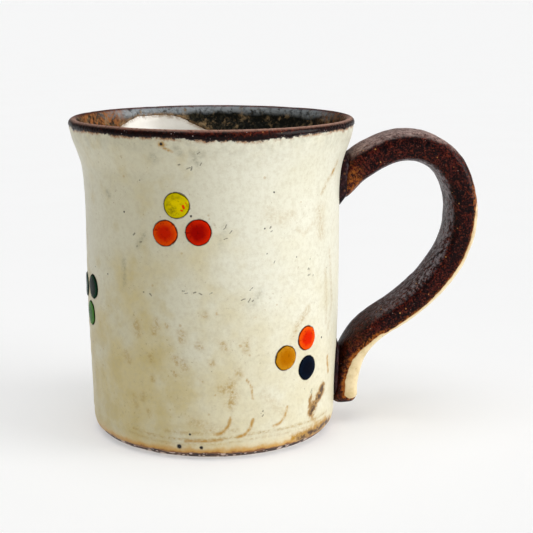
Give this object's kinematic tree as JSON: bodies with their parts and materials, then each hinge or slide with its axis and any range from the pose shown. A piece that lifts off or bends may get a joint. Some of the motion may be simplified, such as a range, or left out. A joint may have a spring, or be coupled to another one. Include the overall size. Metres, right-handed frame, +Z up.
{
  "type": "stoneware mug",
  "caption": "Hand-thrown stoneware mug with a flared brown rim, cream glaze, a brown pulled strap handle and raised enamel dots in groups.",
  "frame": {"origin": "on the table, under the vessel's axis, in the plane of the foot ring", "axes": "+Z up along the vessel's axis, +X towards the handle, -Y the side with the upper group of three dots"},
  "size_m": [0.1227, 0.085, 0.095],
  "materials": {
    "stoneware_clay": "bare fired stoneware, fine sandy tooth",
    "cream_glaze": "satin cream glaze with pinholes, tan stains and fine scratches",
    "rim_iron_glaze": "glossy purple-brown iron glaze, thin and rusty at its edges",
    "lining_glaze": "glossy mottled cream, rust and grey-blue glaze",
    "foot_iron_wash": "matt dark iron wash",
    "joint_slip": "glossy dark iron glaze pooled over the joint",
    "handle_iron_glaze": "glossy dark brown iron glaze, amber where it breaks",
    "handle_cream_glaze": "satin cream glaze with a rusty edge",
    "enamel_yellow": "raised glossy enamel with a thin dark edge",
    "enamel_orange": "raised glossy enamel with a thin dark edge",
    "enamel_red": "raised glossy enamel with a thin dark edge",
    "enamel_ochre": "raised glossy enamel with a thin dark edge",
    "enamel_vermilion": "raised glossy enamel with a thin dark edge",
    "enamel_navy": "raised glossy enamel with a thin dark edge",
    "enamel_bottle_green": "raised glossy enamel with a thin dark edge",
    "enamel_leaf_green": "raised glossy enamel with a thin dark edge",
    "enamel_slate": "raised glossy enamel with a thin dark edge",
    "enamel_cobalt": "raised glossy enamel with a thin dark edge"
  },
  "bodies": {
    "root": {"thrown_body": "stoneware_clay", "outer_cream_glaze": "cream_glaze", "rim_iron_glaze": "rim_iron_glaze", "lining_glaze": "lining_glaze", "foot_iron_wash": "foot_iron_wash", "strap_handle": "stoneware_clay", "upper_slip_joint": "joint_slip", "lower_slip_joint": "joint_slip", "handle_iron_glaze": "handle_iron_glaze", "handle_cream_glaze": "handle_cream_glaze", "dot_front_yellow": "enamel_yellow", "dot_front_orange": "enamel_orange", "dot_front_red": "enamel_red", "dot_right_ochre": "enamel_ochre", "dot_right_vermilion": "enamel_vermilion", "dot_right_navy": "enamel_navy", "dot_left_bottle_green": "enamel_bottle_green", "dot_left_leaf_green": "enamel_leaf_green", "dot_left_slate": "enamel_slate", "dot_rear_cobalt": "enamel_cobalt", "dot_rear_yellow": "enamel_yellow", "dot_rear_vermilion": "enamel_vermilion", "dot_back_red": "enamel_red", "dot_back_leaf_green": "enamel_leaf_green", "dot_back_ochre": "enamel_ochre"}
  },
  "joints": []
}
